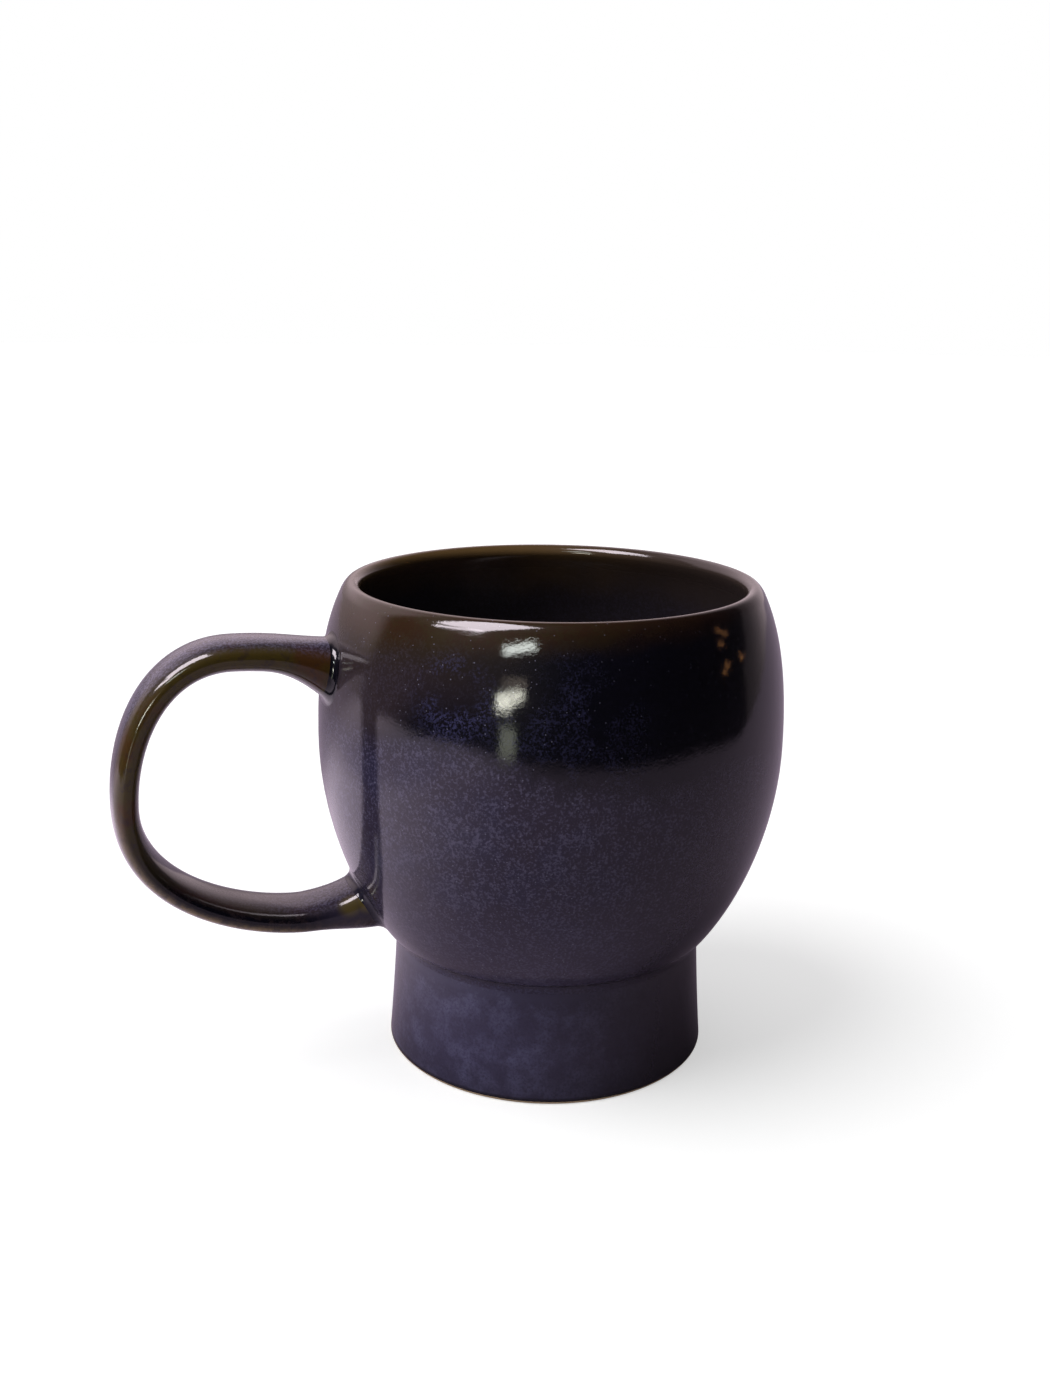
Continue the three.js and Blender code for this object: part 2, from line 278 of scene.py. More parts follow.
def paint(piece, name, values):
    """Stores one number for each point, which the glaze reads."""
    layer = piece.data.attributes.new(name, "FLOAT", "POINT")
    layer.data.foreach_set("value", np.asarray(values, dtype=np.float32))


def band_faces(rings, sides, closed):
    """Faces between each ring of points and the next, and from the last to the first if closed."""
    faces = []
    for i in range(rings if closed else rings - 1):
        here = i * sides
        after = (i + 1) % rings * sides
        for j in range(sides):
            k = (j + 1) % sides
            faces.append((here + j, here + k, after + k, after + j))
    return faces


def revolve(section):
    """Points and faces of a solid of revolution. The section is closed, or starts and ends on the axis."""
    section = np.asarray(section)
    open_ends = section[0][0] < ON_AXIS and section[-1][0] < ON_AXIS
    rings = section[1:-1] if open_ends else section
    angle = np.arange(TURNS) * 2 * math.pi / TURNS
    points = [(r * c, r * s, z) for r, z in rings for c, s in zip(np.cos(angle), np.sin(angle))]
    faces = band_faces(len(rings), TURNS, not open_ends)
    if open_ends:
        bottom = len(points)
        top = bottom + 1
        points += [(0, 0, section[0][1]), (0, 0, section[-1][1])]
        last = (len(rings) - 1) * TURNS
        for j in range(TURNS):
            k = (j + 1) % TURNS
            faces.append((bottom, k, j))
            faces.append((top, last + j, last + k))
    return points, faces


def wrap(rings, closed):
    """Points and faces of a skin over rings of points. It closes on itself, or has flat ends."""
    sides = len(rings[0])
    points = [tuple(point) for ring in rings for point in ring]
    faces = band_faces(len(rings), sides, closed)
    if not closed:
        last = (len(rings) - 1) * sides
        faces.append(tuple(reversed(range(sides))))
        faces.append(tuple(last + j for j in range(sides)))
    return points, faces


def make_bowl():
    """The bowl: a round cup with a rolled lip and a domed underside that sits in the foot ring."""
    underside = bezier([
        (0, UNDERSIDE_HEIGHT),
        (FOOT_INNER_RADIUS / 3, UNDERSIDE_HEIGHT),
        (FOOT_INNER_RADIUS * 2 / 3, UNDERSIDE_HEIGHT),
        (FOOT_INNER_RADIUS, SHOULDER_HEIGHT),
    ], UNDERSIDE_STEPS)
    rounding = arc(SHOULDER_CENTRE, SHOULDER_ROUNDING, -math.pi / 2, -SHOULDER_LEAN, SHOULDER_STEPS)[:-1]
    inner_turn = math.pi + LIP_LEAN
    lip = np.vstack([
        arc(LIP_SOFT_CENTRE, LIP_SOFT_ROUNDING, LIP_LEAN, LIP_TURN, LIP_OUTER_STEPS)[1:],
        arc(LIP_OUTER_CENTRE, LIP_OUTER_ROUNDING, LIP_TURN, math.pi / 2, LIP_OUTER_STEPS)[1:],
        arc(LIP_INNER_CENTRE, LIP_INNER_ROUNDING, math.pi / 2, inner_turn, LIP_INNER_STEPS)[1:-1],
    ])
    inner = beside(SIDE, -WALL)[int(FLOOR_CURVE_START * SIDE_STEPS):][::-1]
    down = inner[-1] - inner[-2]
    down /= np.linalg.norm(down)
    edge = inner[-1]
    floor = bezier([
        edge,
        edge + down * (edge[1] - FLOOR_HEIGHT),
        (edge[0] / 2, FLOOR_HEIGHT),
        (0, FLOOR_HEIGHT),
    ], FLOOR_STEPS)
    section = np.vstack([underside, rounding, SIDE, lip, inner, floor[1:]])
    points, faces = revolve(section)
    piece = make_piece("bowl_body", points, faces, ["bowl"])
    outer_count = len(underside) + len(rounding) + len(SIDE)
    inside = np.concatenate([
        np.zeros(outer_count),
        np.linspace(0, 1, len(lip)),
        np.ones(len(inner) + len(floor) - 1),
    ])
    paint(piece, "inside", np.append(np.repeat(inside[1:-1], TURNS), [0, 1]))
    return piece


def foot_side():
    """The foot ring's outside from its bottom edge up to its top, as radius and height."""
    bottom = (FOOT_BOTTOM_RADIUS, FOOT_ROUNDING)
    top = (FOOT_TOP_RADIUS, FOOT_HEIGHT)
    waist = ((bottom[0] + top[0]) / 2 - 2 * FOOT_WAIST, (bottom[1] + top[1]) / 2)
    return bezier([bottom, waist, top], FOOT_SIDE_STEPS)


FOOT_SIDE = foot_side()


def foot_side_radius(height):
    """The foot ring's outer radius at a height."""
    return np.interp(height, FOOT_SIDE[:, 1], FOOT_SIDE[:, 0])


def make_foot_ring():
    """The foot ring: glazed down to a roll just above its bare clay rim."""
    centre = (FOOT_BOTTOM_RADIUS - FOOT_ROUNDING, FOOT_ROUNDING)
    rounding = arc(centre, FOOT_ROUNDING, -math.pi / 2, 0, FOOT_ROUNDING_STEPS)[:-1]
    under_glaze = rounding[:, 1] < BARE_CLAY_HEIGHT
    rounding[under_glaze] = centre + (rounding[under_glaze] - centre) * (1 - GLAZE_ROLL / FOOT_ROUNDING)
    rounding[:, 1] -= rounding[0, 1]
    inner_heights = (FOOT_HEIGHT, FOOT_HEIGHT * 2 / 3, FOOT_HEIGHT / 3, FOOT_INNER_BEVEL)
    inner = [(FOOT_INNER_RADIUS, height) for height in inner_heights]
    bevel_centre = (FOOT_INNER_RADIUS + FOOT_INNER_BEVEL, FOOT_INNER_BEVEL)
    bevel = arc(bevel_centre, FOOT_INNER_BEVEL, math.pi, math.pi * 3 / 2, FOOT_BEVEL_STEPS)[1:]
    points, faces = revolve(np.vstack([rounding, FOOT_SIDE, inner, bevel]))
    return make_piece("foot_ring_body", points, faces, ["foot_ring"])


def make_foot_crease():
    """The slip between bowl and foot: a hollow bead from the bowl's lower edge to the foot's side."""
    lower = FOOT_HEIGHT - FOOT_BEAD
    inner_core = FOOT_INNER_RADIUS + FOOT_BEAD_CORE
    outer_core = FOOT_TOP_RADIUS - FOOT_BEAD_CORE
    on_foot = (foot_side_radius(lower) - FOOT_BEAD_TUCK, lower)
    on_bowl = polar(SHOULDER_CENTRE, SHOULDER_ROUNDING - FOOT_BEAD_TUCK, -FOOT_BEAD_END)
    corner = (FOOT_TOP_RADIUS, SHOULDER_HEIGHT - CREASE_DROP)
    section = np.vstack([
        [(inner_core, FOOT_HEIGHT - FOOT_BEAD_TUCK), (outer_core, FOOT_HEIGHT - FOOT_BEAD_TUCK)],
        [(outer_core, lower)],
        bezier([on_foot, corner, on_bowl], CREASE_STEPS),
        [(SHOULDER_CENTRE[0], SHOULDER_HEIGHT + FOOT_BEAD_TUCK)],
        [(inner_core, SHOULDER_HEIGHT + FOOT_BEAD_TUCK)],
    ])
    points, faces = revolve(section)
    return make_piece("foot_crease_slip", points, faces, ["foot_slip_joint"])


# Strap: its middle line as distance from the axis and height, and its skin


def strap_line():
    """Dense points down the strap's middle line, their directions, and the length so far."""
    upper_height = MUG_HEIGHT - UPPER_ROOT_BELOW_RIM
    lower_height = FOOT_HEIGHT + LOWER_ROOT_ABOVE_FOOT
    upper = (side_radius(upper_height) - ROOT_DEPTH, upper_height)
    crown = (BELLY_RADIUS + CROWN_REACH, upper_height + CROWN_RISE)
    trough = (BELLY_RADIUS + TROUGH_REACH, lower_height + TROUGH_RISE)
    bulge = (BELLY_RADIUS + HANDLE_REACH, (crown[1] + trough[1]) / 2 - BULGE_DROP)
    lower = (side_radius(lower_height) - ROOT_DEPTH, lower_height)

    before_lower = (lower[0], lower[1] - TROUGH_RISE)

    def level(here, there, share):
        """The point level with here, at a share of the way to there."""
        return (here[0] + (there[0] - here[0]) * share, here[1])

    def plumb(here, there, share):
        """The point straight above or below here, at a share of the way to there."""
        return (here[0], here[1] + (there[1] - here[1]) * share)

    stretches = [
        [upper, level(upper, crown, ROOT_PULL), level(crown, upper, ROOT_PULL), crown],
        [crown, level(crown, bulge, CROWN_PULL), plumb(bulge, crown, BULGE_PULL_UP), bulge],
        [bulge, plumb(bulge, trough, BULGE_PULL_DOWN), level(trough, bulge, TROUGH_PULL), trough],
        [trough, level(trough, lower, ROOT_PULL), level(before_lower, trough, ROOT_PULL), lower],
    ]
    parts = [bezier(stretch, STRAP_LINE_STEPS) for stretch in stretches]
    points = np.vstack([parts[0]] + [part[1:] for part in parts[1:]])
    steps = np.linalg.norm(np.diff(points, axis=0), axis=1)
    length = np.concatenate([[0], np.cumsum(steps)])
    slope = np.gradient(points, length, axis=0)
    slope /= np.linalg.norm(slope, axis=1)[:, None]
    return points, slope, length


LINE, LINE_SLOPE, LINE_LENGTH = strap_line()
STRAP_LENGTH = LINE_LENGTH[-1]


def signed_power(value, power):
    """A power that keeps the sign."""
    return np.sign(value) * np.abs(value) ** power


def strap_skin(length, angle):
    """Points on the strap's skin and directions out of it, at lengths from the upper root and angles."""
    length, angle = np.broadcast_arrays(np.asarray(length, float), np.asarray(angle, float))
    middle = np.stack([np.interp(length, LINE_LENGTH, LINE[:, i]) for i in (0, 1)], axis=-1)
    slope = np.stack([np.interp(length, LINE_LENGTH, LINE_SLOPE[:, i]) for i in (0, 1)], axis=-1)
    slope /= np.linalg.norm(slope, axis=-1)[..., None]
    outward = np.stack([-slope[..., 1], slope[..., 0]], axis=-1)
    share = length / STRAP_LENGTH
    upper, thinnest, lower = STRAP_THICKNESS
    root = np.where(share < 0.5, upper, lower)
    rise = np.hypot(2 * share - 1, PINCH_ROUNDING) - PINCH_ROUNDING
    full_rise = math.hypot(1, PINCH_ROUNDING) - PINCH_ROUNDING
    thickness = thinnest + (root - thinnest) * rise / full_rise
    flare = (
        UPPER_FLARE * np.clip(1 - length / UPPER_FLARE_LENGTH, 0, 1) ** FLARE_FALLOFF
        + LOWER_FLARE * np.clip(1 - (STRAP_LENGTH - length) / LOWER_FLARE_LENGTH, 0, 1) ** FLARE_FALLOFF
    )
    half_thickness = (thickness + flare) / 2
    half_width = STRAP_WIDTH / 2
    power = 2 / STRAP_SQUARENESS
    out = half_thickness * signed_power(np.cos(angle), power) - flare / 2
    spot = middle + outward * out[..., None]
    across = half_width * signed_power(np.sin(angle), power)
    points = np.stack([-spot[..., 0], across, spot[..., 1]], axis=-1)
    normal_out = signed_power(np.cos(angle), 2 - power) / half_thickness
    normal_across = signed_power(np.sin(angle), 2 - power) / half_width
    normals = np.stack([-outward[..., 0] * normal_out, normal_across, outward[..., 1] * normal_out], axis=-1)
    normals /= np.linalg.norm(normals, axis=-1)[..., None]
    return points, normals


def leaving_length(root, opening, angle):
    """The length at which the skin leaves the bowl's side, for each angle, found by halving."""
    inner = np.full_like(angle, root)
    outer = np.full_like(angle, opening)
    for _ in range(HALVINGS):
        middle = (inner + outer) / 2
        points, _ = strap_skin(middle, angle)
        is_out = np.hypot(points[:, 0], points[:, 1]) > side_radius(points[:, 2])
        outer = np.where(is_out, middle, outer)
        inner = np.where(is_out, inner, middle)
    return outer


def section_angles():
    """Angles round the strap's section that spread its points evenly."""
    fine = np.linspace(0, 2 * math.pi, SECTION_SAMPLES)
    points, _ = strap_skin(STRAP_LENGTH / 2, fine)
    run = np.concatenate([[0], np.cumsum(np.linalg.norm(np.diff(points, axis=0), axis=1))])
    even = np.linspace(0, run[-1], STRAP_SIDES, endpoint=False)
    return np.interp(even, run, fine)


# Where the skin leaves the bowl's side, sought over this length from each root
SOUGHT_LENGTH = 40.0
ANGLES = section_angles()
UPPER_LEAVING = leaving_length(0.0, SOUGHT_LENGTH, ANGLES)
LOWER_LEAVING = leaving_length(STRAP_LENGTH, STRAP_LENGTH - SOUGHT_LENGTH, ANGLES)


def make_handle():
    """The strap, from just inside the bowl's wall and back to it."""
    start = UPPER_LEAVING - END_SUNK
    end = LOWER_LEAVING + END_SUNK
    share = np.linspace(0, 1, STRAP_RINGS)
    lengths = start[None, :] + (end - start)[None, :] * share[:, None]
    points, _ = strap_skin(lengths, ANGLES[None, :])
    points, faces = wrap(points, False)
    piece = make_piece("handle_strap", points, faces, ["handle"])
    power = 2 / STRAP_SQUARENESS
    across = np.abs(signed_power(np.sin(ANGLES), power))
    outward = signed_power(np.cos(ANGLES), power)
    masks = {
        "flank": smooth_step(*FLANK_ACROSS, across),
        "corner": smooth_step(*CORNER_ACROSS, across) * smooth_step(*CORNER_OUTWARD, np.abs(outward)),
        "outer_edge": smooth_step(*OUTER_EDGE_ACROSS, across) * smooth_step(*OUTER_EDGE_OUTWARD, outward),
    }
    for name, mask in masks.items():
        paint(piece, name, np.tile(mask, STRAP_RINGS))
    return piece


def onto_bowl(points, depth):
    """Points moved straight out from or in to the axis, to lie at a depth under the bowl's side."""
    radius = side_radius(points[..., 2]) - depth
    scale = radius / np.hypot(points[..., 0], points[..., 1])
    return np.stack([points[..., 0] * scale, points[..., 1] * scale, points[..., 2]], axis=-1)


def bowl_normal(points):
    """Directions out of the bowl's side at points on it."""
    step = 0.05
    lean = (side_radius(points[..., 2] + step) - side_radius(points[..., 2] - step)) / (2 * step)
    radius = np.hypot(points[..., 0], points[..., 1])
    normals = np.stack([points[..., 0] / radius, points[..., 1] / radius, -lean], axis=-1)
    return normals / np.linalg.norm(normals, axis=-1)[..., None]


def make_handle_slip(name, node, leaving, sign):
    """The hollow bead of slip all round one end of the strap, meeting both skins at a tangent."""
    corner, out = strap_skin(leaving, ANGLES)
    bowl_out = bowl_normal(corner)
    away = out - (out * bowl_out).sum(axis=1)[:, None] * bowl_out
    away /= np.linalg.norm(away, axis=1)[:, None]
    on_bowl = onto_bowl(corner + away * HANDLE_BEAD, HANDLE_BEAD_TUCK)
    strap_points, strap_out = strap_skin(leaving + sign * HANDLE_BEAD, ANGLES)
    on_strap = strap_points - strap_out * HANDLE_BEAD_TUCK
    t = np.linspace(0, 1, BEAD_STEPS)[None, :, None]
    face = on_bowl[:, None] * (1 - t) ** 2 + corner[:, None] * 2 * t * (1 - t) + on_strap[:, None] * t ** 2
    inside = corner - out * HANDLE_BEAD_CORE - bowl_out * HANDLE_BEAD_CORE
    rings = np.concatenate([inside[:, None], face], axis=1)
    if sign > 0:
        rings = rings[::-1]
    points, faces = wrap(rings, True)
    return make_piece(name, points, faces, [node])


# Materials


class Shader:
    """A short way to write a material's nodes."""

    def __init__(self, tree):
        self.tree = tree
        self.tree.nodes.clear()

    def node(self, kind, inputs=None, **settings):
        """Adds a node. Settings are its own properties, and inputs are values or links by socket."""
        node = self.tree.nodes.new(kind)
        for name, value in settings.items():
            setattr(node, name, value)
        for socket, value in (inputs or {}).items():
            if isinstance(value, bpy.types.NodeSocket):
                self.tree.links.new(value, node.inputs[socket])
            else:
                node.inputs[socket].default_value = value
        return node

    def math(self, operation, first, second=0.0):
        """A function of one or two values."""
        return self.node("ShaderNodeMath", {0: first, 1: second}, operation=operation).outputs[0]

    def chain(self, operation, values):
        """The same function of all values in turn."""
        result = values[0]
        for value in values[1:]:
            result = self.math(operation, result, value)
        return result

    def total(self, *values):
        """The sum of values."""
        return self.chain("ADD", values)

    def product(self, *values):
        """The product of values."""
        return self.chain("MULTIPLY", values)

    def highest(self, *values):
        """The highest of values."""
        return self.chain("MAXIMUM", values)

    def sway(self, noise, reach):
        """How far a noise moves an edge: its level over its middle one, times a reach."""
        return self.product(self.math("SUBTRACT", noise, 0.5), reach)

    def fade(self, value, low, high, start=0.0, end=1.0):
        """An S curve from start at low to end at high. low may be the larger."""
        node = self.node(
            "ShaderNodeMapRange",
            {"Value": value, "From Min": low, "From Max": high, "To Min": start, "To Max": end},
            interpolation_type="SMOOTHSTEP",
        )
        return node.outputs[0]

    def mix(self, factor, first, second):
        """Mixes two colours."""
        node = self.node("ShaderNodeMix", {0: factor, 6: first, 7: second}, data_type="RGBA")
        return node.outputs[2]

    def vector(self, operation, first, second, output="Value"):
        """A function of two vectors."""
        node = self.node("ShaderNodeVectorMath", {0: first, 1: second}, operation=operation)
        return node.outputs[output]

    def gap(self, place, spot):
        """How far a place is from a spot, given in millimetres about the bowl's axis."""
        return self.vector("DISTANCE", place, (spot[0] + AXIS_X / MM, spot[1], spot[2]))

    def noise(self, place, scale, detail, roughness):
        """Noise from 0 to 1."""
        node = self.node("ShaderNodeTexNoise", {
            "Vector": place, "Scale": scale, "Detail": detail, "Roughness": roughness,
        })
        return node.outputs["Fac"]

    def attribute(self, name):
        """A number that the mesh carries."""
        return self.node("ShaderNodeAttribute", attribute_name=name).outputs["Fac"]


def new_material(name):
    """A material and its shader."""
    material = bpy.data.materials.new(name)
    material.use_nodes = True
    return material, Shader(material.node_tree)


# Glaze colours
NAVY = (0.0030, 0.0027, 0.0075, 1)
NIGHT = (0.0034, 0.0029, 0.0062, 1)
PLUM = (0.026, 0.019, 0.041, 1)
INDIGO = (0.022, 0.019, 0.050, 1)
LAVENDER = (0.20, 0.178, 0.31, 1)
LAVENDER_DUSK = (0.090, 0.080, 0.150, 1)
SPARK = (0.40, 0.39, 0.56, 1)
# SHADE, the glaze on the side away from the key light, is partly its own colour and partly painted shade
SHADE = (0.009, 0.005, 0.014, 1)
DUSK = (0.046, 0.035, 0.070, 1)
BLUE_CLOUD = (0.050, 0.048, 0.125, 1)
MAUVE = (0.032, 0.021, 0.026, 1)
MOSS = (0.031, 0.0195, 0.013, 1)
RUST = (0.038, 0.015, 0.005, 1)
OLIVE = (0.036, 0.021, 0.006, 1)
# SHADED_RUST is the rim's rust on the side away from the key light: partly its own colour, partly painted
# shade
SHADED_RUST = (0.016, 0.0065, 0.004, 1)
WELL = (0.024, 0.018, 0.022, 1)
WELL_RUST = (0.195, 0.112, 0.040, 1)
WELL_BROWN = (0.055, 0.037, 0.032, 1)
FOOT_DEEP = (0.030, 0.024, 0.062, 1)
FOOT_PALE = (0.105, 0.100, 0.200, 1)
HANDLE_RUST = (0.085, 0.034, 0.009, 1)
HANDLE_OLIVE = (0.075, 0.050, 0.010, 1)
HANDLE_EDGE = (0.240, 0.150, 0.060, 1)
VIOLET_BROWN = (0.034, 0.020, 0.022, 1)
GOLD = (0.150, 0.105, 0.022, 1)
CLAY_DARK = (0.42, 0.27, 0.16, 1)
CLAY_PALE = (0.70, 0.50, 0.34, 1)

# Noises in the glaze: scale for each millimetre, detail and roughness
CLOUDS = (0.11, 3, 0.6)
GRAINS = (2.0, 3, 0.7)
DRIFTS = (0.045, 3, 0.6)
WAVES = (0.2, 3, 0.6)
CLUSTERS = (0.6, 2, 0.5)
BLOTCHES = (0.2, 4, 0.65)
STREAKS = (0.5, 3, 0.6)
RIPPLES = (0.35, 4, 0.6)
CLAY_GRAINS = (3.0, 4, 0.7)
SPARK_CELLS = 1.1

# Gloss, and the depth of bumps in metres
GLAZE_IOR = 1.45
GLAZE_SPECULAR = 0.06
COAT_IOR = 1.5
COAT_ROUGHNESS = 0.05
GLAZE_HAZE = 0.42
FOOT_HAZE = 0.45
WELL_HAZE = 0.3
CLAY_HAZE = 0.85
GLAZE_BUMP = 0.000022
FOOT_BUMP = 0.000026
CLAY_BUMP = 0.00006
GRAIN_BUMP_SHARE = 0.5

# Where the inside's softer gloss begins: millimetres under the rim, and level of the mask called inside
SHARP_GLOSS_DEPTH = 5.0
WELL_INSIDE = 0.99

# The azimuth of the side towards the key light, where the glaze is lightest: partly its own colour, partly
# painted light
LIT_SIDE = -75

# Heights in millimetres between which a colour of the glaze fades in
VIOLET_EDGE = (75.5, 67)
VIOLET_DUSK_EDGE = (52, 30)
MAUVE_EDGE = (76, 87)
MOSS_EDGE = (83, 91)
RUST_EDGE = (90, 95.5)
WELL_RUST_EDGE = (82.5, 97)
SPECKLE_EDGE = (30, 60)
FOOT_BAND_EDGE = (18.5, 21.5)
FOOT_BLACK_EDGE = (10, 2)
FOOT_RIM_EDGE = (1.9, 0.7)
STRAP_BROWN_EDGE = (80, 66)
STRAP_LOW_EDGE = (62, 38)
STRAP_CROWN_EDGE = (84, 76)
CREASE_SHADE_EDGE = (23.0, 24.5)
UPPER_SLIP_EDGE = (60, 70)

# How far noise and side move those edges up and down, in millimetres
DRIFT_REACH = 9
WAVE_REACH = 5
VIOLET_TILT = -4.5
VIOLET_SAG = 4.5
VIOLET_DROOP = 2.6
MAUVE_DROOP = 12.0
RUST_DRIFT_REACH = 5
RUST_WAVE_REACH = 3
RUST_TILT = 3.2
WELL_CLOUD_REACH = 6
WELL_TILT = -3
FOOT_BAND_REACH = 4

# Levels of side_of between which a colour or a droop fades in. The colours make the glaze lighter towards the
# key light and darker away from it: partly its own colour, partly painted light and shade
VIOLET_SIDE = (-0.5, 0.5)
DUSK_SIDE = (-0.5, 0.3)
DARK_SIDE = (-0.4, 0.4)
MAUVE_SIDE = (0.15, 0.85)
RIM_SIDE = (-0.5, 0.5)
WELL_SIDE = (0.1, -0.8)
SPECKLE_SIDE = (-0.5, 0.6)
SPARK_SIDE = (-0.4, 0.5)
LIT_FOOT_SIDE = (-0.45, 0.55)
SLIP_SIDE = (-0.4, 0.4)
VIOLET_DROOP_SIDE = (0.45, 0.9)
MAUVE_DROOP_SIDE = (0.66, 0.92)

# Levels of a noise between which a colour fades in, and of the cells that bear a spark
VIOLET_CLOUDS = (0.35, 0.65)
STRAP_CLOUDS = (0.4, 0.6)
SLIP_CLOUDS = (0.3, 0.6)
POOL_CLOUDS = (0.4, 0.55)
POOL_GRAINS = (0.45, 0.62)
WELL_GRAINS = (0.4, 0.7)
STRAP_GRAINS = (0.4, 0.66)
FOOT_GRAINS = (0.3, 0.6)
SLIP_GRAINS = (0.4, 0.65)
FOOT_BLOTCHES = (0.36, 0.7)
FLANK_STREAKS = (0.5, 0.66)
EDGE_STREAKS = (0.35, 0.6)
SPECKLE_GRAINS = (0.47, 0.64)
OLIVE_WAVES = (0.85, 1.15)
SPARK_RADIUS = (0.17, 0.05)
SPARK_CHOICE = (0.45, 0.95)

# Distances in millimetres from the gold at the strap's lower root between which a colour fades in
BROWN_GAP = (8, 26)
DUSK_GAP = (14, 5)
CORNER_GAP = (8, 18)
EDGE_GAP = (10, 20)


def on_belly(azimuth, height):
    """A spot on the belly, in millimetres about the bowl's axis."""
    return tuple(towards(azimuth, 0) * BELLY_RADIUS + Vector((0, 0, height)))


# Two pools of blue crystals, the place where the violet's upper edge sags, and the gold at the strap's lower
# root with its streak. Each is a spot about the bowl's axis, and the distances between which it fades in
DENSE_POOL, DENSE_POOL_EDGE = on_belly(-21, 82), (11, 3)
SPARSE_POOL, SPARSE_POOL_EDGE = on_belly(3, 77), (19, 4)
SAG_SPOT, SAG_EDGE = on_belly(14, 67), (30, 5)
GOLD_ROOT, GOLD_ROOT_EDGE = (-39.2, -STRAP_WIDTH / 2, 36.0), (3.6, 1.2)
GOLD_STREAK, GOLD_STREAK_EDGE = (-42.6, -STRAP_WIDTH / 2, 35.2), (3.2, 1.0)


def place_on_mug(shader):
    """The place in millimetres."""
    place = shader.node("ShaderNodeTexCoord").outputs["Object"]
    return shader.node("ShaderNodeVectorMath", {0: place, "Scale": 1 / MM}, operation="SCALE").outputs[0]


def height_of(shader, place):
    """The height of a place over the table."""
    return shader.node("ShaderNodeSeparateXYZ", {0: place}).outputs["Z"]


def side_of(shader, place):
    """1 towards the key light and -1 opposite: the glaze's lighter and darker sides are partly its own,
    partly painted light and shade.
    """
    centred = shader.vector("SUBTRACT", place, (AXIS_X / MM, 0, 0), "Vector")
    return shader.vector("DOT_PRODUCT", centred, tuple(towards(LIT_SIDE, 0) / BELLY_RADIUS))


def spark_mask(shader, place):
    """A few single bright crystals: the middles of some of the cells."""
    cells = shader.node("ShaderNodeTexVoronoi", {"Vector": place, "Scale": SPARK_CELLS})
    dot = shader.fade(cells.outputs["Distance"], *SPARK_RADIUS)
    cell = shader.node("ShaderNodeSeparateColor", {0: cells.outputs["Color"]}).outputs[0]
    return shader.product(dot, shader.fade(cell, *SPARK_CHOICE))


def skin_normal(shader, place, grain, depth):
    """The bumps of the glaze's skin: slow ripples and the grain under it."""
    height = shader.total(shader.noise(place, *RIPPLES), shader.product(grain, GRAIN_BUMP_SHARE))
    return shader.node("ShaderNodeBump", {"Height": height, "Distance": depth, "Strength": 1.0}).outputs[0]


def finish(shader, inputs):
    """A material's surface."""
    surface = shader.node("ShaderNodeBsdfPrincipled", inputs)
    shader.node("ShaderNodeOutputMaterial", {"Surface": surface.outputs[0]})


def finish_glaze(shader, colour, place, grain, haze=GLAZE_HAZE, depth=GLAZE_BUMP):
    """A soft gloss from the crystals under the clear, sharp gloss of the glaze's skin."""
    normal = skin_normal(shader, place, grain, depth)
    finish(shader, {
        "Base Color": colour,
        "Roughness": haze,
        "IOR": GLAZE_IOR,
        "Specular IOR Level": GLAZE_SPECULAR,
        "Normal": normal,
        "Coat Weight": 1.0,
        "Coat Roughness": COAT_ROUGHNESS,
        "Coat IOR": COAT_IOR,
        "Coat Normal": normal,
    })


def inner_colour(shader, height, side, cloud, grain):
    """The colour inside the bowl: rusty just under the lip, and dusky below."""
    lifted = shader.total(height, shader.sway(cloud, WELL_CLOUD_REACH), shader.product(side, WELL_TILT))
    dusk = shader.mix(shader.fade(grain, *WELL_GRAINS, end=0.25), WELL, LAVENDER_DUSK)
    rust = shader.mix(shader.fade(side, *WELL_SIDE), WELL_RUST, WELL_BROWN)
    return shader.mix(shader.fade(lifted, *WELL_RUST_EDGE), dusk, rust)


def dark_colour(shader, place, side, cloud, grain, mauve, moss):
    """The bowl's nearly black band, mauve and mossy towards the key light, partly as painted light, with two
    pools of blue crystals.
    """
    dark = shader.mix(shader.fade(side, *DARK_SIDE), NIGHT, NAVY)
    dark = shader.mix(mauve, dark, shader.mix(moss, MAUVE, MOSS))
    pool = shader.highest(
        shader.fade(shader.gap(place, DENSE_POOL), *DENSE_POOL_EDGE),
        shader.fade(shader.gap(place, SPARSE_POOL), *SPARSE_POOL_EDGE, end=0.42),
    )
    clouded = shader.product(shader.fade(cloud, *POOL_CLOUDS), pool)
    return shader.mix(shader.product(clouded, shader.fade(grain, *POOL_GRAINS)), dark, BLUE_CLOUD)


def violet_colour(shader, height, side, cloud):
    """The belly's violet without its speckles, dusky low down, and darker on the side away from the key
    light, partly as painted shade.
    """
    violet = shader.mix(shader.fade(cloud, *VIOLET_CLOUDS), PLUM, INDIGO)
    # Darker away from the key light: partly the glaze's own colour, partly painted shade
    violet = shader.mix(shader.fade(side, *VIOLET_SIDE), SHADE, violet)
    dusk = shader.mix(shader.fade(side, *DUSK_SIDE), SHADE, DUSK)
    return shader.mix(shader.fade(height, *VIOLET_DUSK_EDGE, end=0.8), violet, dusk)


def speckles(shader, place, height, side, cloud, grain, violet, mauve):
    """How much lavender the fine crystals add: most in the violet, towards the key light, partly as painted
    light, and high up.
    """
    where = shader.highest(shader.fade(violet, 0.0, 0.8, start=0.04), shader.product(mauve, 0.22))
    density = shader.product(
        # More speckles towards the key light: partly the glaze's own, partly painted light
        shader.fade(side, *SPECKLE_SIDE, start=0.13, end=0.37),
        where,
        shader.fade(height, *SPECKLE_EDGE, start=0.55),
    )
    cluster = shader.noise(place, *CLUSTERS)
    level = shader.total(grain, shader.sway(cloud, 0.15), shader.sway(cluster, 0.25))
    return shader.product(shader.fade(level, *SPECKLE_GRAINS), density)


